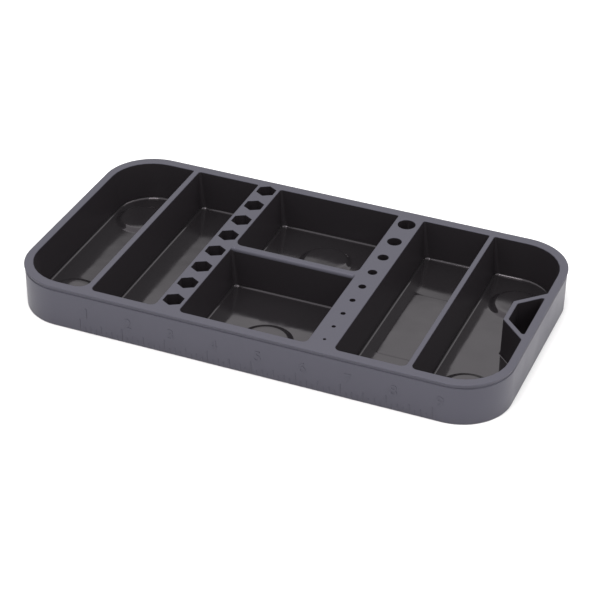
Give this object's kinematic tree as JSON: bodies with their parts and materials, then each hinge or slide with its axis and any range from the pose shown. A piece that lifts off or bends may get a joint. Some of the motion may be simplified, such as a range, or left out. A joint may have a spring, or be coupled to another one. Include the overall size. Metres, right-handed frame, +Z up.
{
  "type": "parts sorting tray",
  "caption": "Shallow rounded sorting tray with drafted compartments, a bar of hexagonal bit sockets, a bar of graded drill holes and a corner pocket.",
  "frame": {"origin": "middle of the footprint, on the surface the tray stands on", "axes": "+X along the length towards the end with the trapezoid pocket, +Y from the side with the inch scale to the back, +Z up"},
  "size_m": [0.283, 0.152, 0.0254],
  "materials": {
    "moulded_shell": "satin moulded polypropylene, glossy floors",
    "magnet_ferrite": "sintered ferrite, matt dark grey",
    "grip_rubber": "fine-textured sheet rubber"
  },
  "bodies": {
    "root": {"back_rim_left": "moulded_shell", "back_rim_middle": "moulded_shell", "back_rim_right": "moulded_shell", "bit_bar": "moulded_shell", "cross_divider": "moulded_shell", "drill_bar": "moulded_shell", "front_rim_left": "moulded_shell", "front_rim_middle": "moulded_shell", "front_rim_right": "moulded_shell", "grip_disc_left_back": "grip_rubber", "grip_disc_left_front": "grip_rubber", "grip_disc_middle_back": "grip_rubber", "grip_disc_middle_front": "grip_rubber", "grip_disc_right_back": "grip_rubber", "grip_disc_right_front": "grip_rubber", "left_back_corner": "moulded_shell", "left_divider": "moulded_shell", "left_end_floor": "moulded_shell", "left_end_wall": "moulded_shell", "left_floor": "moulded_shell", "left_front_corner": "moulded_shell", "magnet_left_back": "magnet_ferrite", "magnet_left_front": "magnet_ferrite", "magnet_middle_back": "magnet_ferrite", "magnet_middle_front": "magnet_ferrite", "magnet_right_back": "magnet_ferrite", "magnet_right_front": "magnet_ferrite", "middle_back_floor": "moulded_shell", "middle_front_floor": "moulded_shell", "pocket_wall": "moulded_shell", "right_back_corner": "moulded_shell", "right_divider": "moulded_shell", "right_end_floor": "moulded_shell", "right_end_wall": "moulded_shell", "right_floor": "moulded_shell", "right_front_corner": "moulded_shell"}
  },
  "joints": []
}
